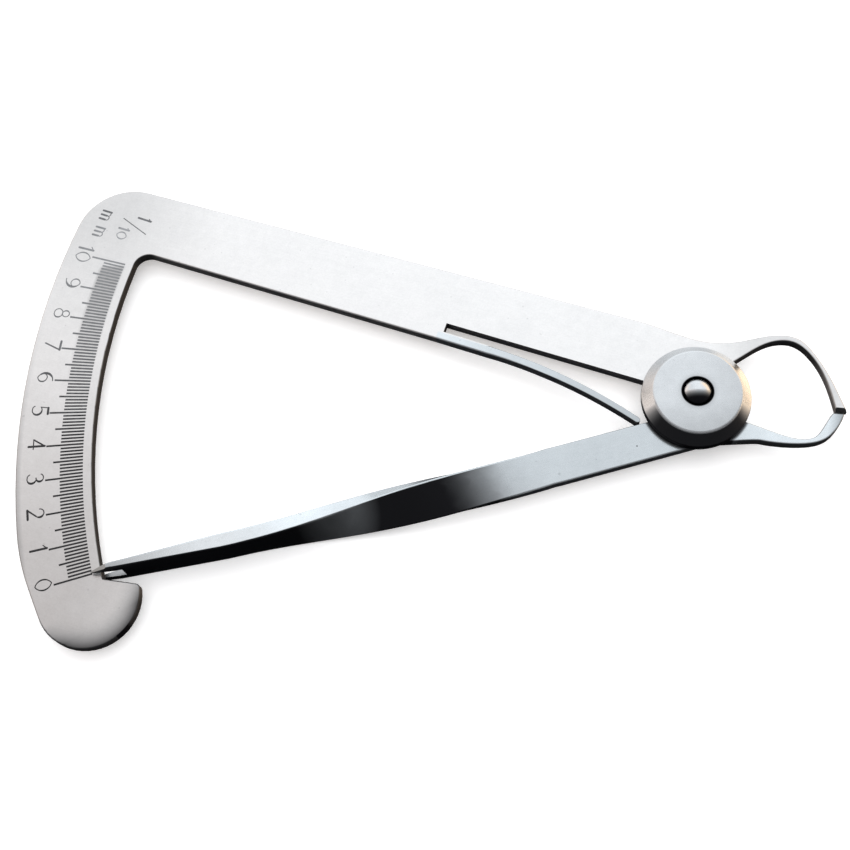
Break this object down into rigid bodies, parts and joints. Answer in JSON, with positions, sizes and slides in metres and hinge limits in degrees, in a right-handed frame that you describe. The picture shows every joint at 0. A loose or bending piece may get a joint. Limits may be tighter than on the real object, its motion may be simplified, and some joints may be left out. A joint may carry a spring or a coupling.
{
  "type": "inside caliper",
  "caption": "Spring-closed caliper gauge: a flat steel frame with an upper jaw and a decimal scale arc, and a pivoting arm with a lower jaw and a forked pointer.",
  "frame": {"origin": "on the pivot's axis, at the flat back face of the rear rivet head", "axes": "+X from the pivot towards the jaws, with the scale's middle line along -X; +Z along the pivot towards the scale's face; +Y towards the upper jaw and the frame's arm"},
  "size_m": [0.1059, 0.0646, 0.0066],
  "materials": {
    "frame_steel": "satin",
    "arm_steel": "satin",
    "spring_steel": "satin",
    "disc_steel": "satin",
    "rivet_steel": "polished",
    "black_fill": "matte"
  },
  "bodies": {
    "frame": {"scale_frame": "frame_steel", "front_disc": "disc_steel", "pivot_rivet": "rivet_steel", "graduation_fill": "black_fill", "numeral_fill": "black_fill", "unit_fill": "black_fill"},
    "pointer": {"pointer_arm": "arm_steel"},
    "leaf": {"leaf_spring": "spring_steel"}
  },
  "joints": [
    {"name": "arm_pivot", "type": "hinge", "parent": "frame", "child": "pointer", "pos_m": [0, 0, 0.00155], "axis": [0, 0, -1], "range_deg": [0, 32.2], "stiffness_Nm_per_rad": 0.05, "springref_deg": -17.19},
    {"name": "leaf_flex", "type": "hinge", "parent": "frame", "child": "leaf", "pos_m": [-0.02594, 0.00756, 0.00155], "axis": [0, 0, 1], "range_deg": [0, 12]}
  ],
  "couplings": [
    {"joint": "leaf_flex", "follows": "arm_pivot", "ratio": 0.37}
  ]
}
